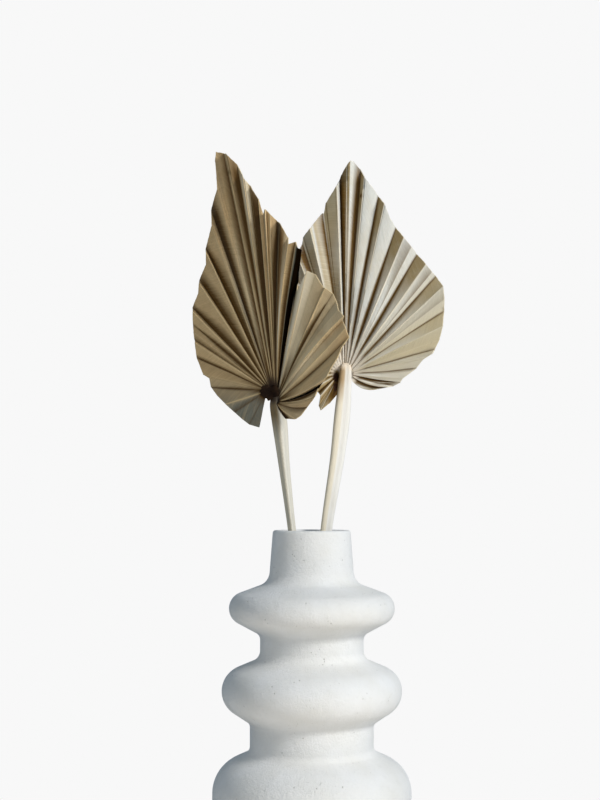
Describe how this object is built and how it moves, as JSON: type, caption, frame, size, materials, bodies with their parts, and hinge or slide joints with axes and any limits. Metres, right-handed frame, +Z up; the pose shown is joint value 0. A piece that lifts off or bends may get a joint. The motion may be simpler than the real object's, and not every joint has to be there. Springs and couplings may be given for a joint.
{
  "type": "dried palm leaves in a vase",
  "caption": "Dried fan palm leaves, pleated and trimmed to spear shapes, on long stems standing in a ringed matte ceramic vase that rests on its flat foot.",
  "frame": {"origin": "centre of the underside of the vase's foot, on the surface that it stands on", "axes": "+Z up along the vase's axis; the viewer who sees the leaves' ridged faces stands at -Y, with +X on the right"},
  "size_m": [0.154, 0.1176, 0.4217],
  "materials": {
    "vase_ceramic": "matte",
    "shaded_blade": "matte",
    "left_stem": "matte",
    "pale_blade": "matte",
    "right_stem": "matte"
  },
  "bodies": {
    "root": {"vase": "vase_ceramic", "left_leaf_blade": "shaded_blade", "left_leaf_stem": "left_stem", "right_leaf_blade": "pale_blade", "right_leaf_stem": "right_stem"}
  },
  "joints": []
}
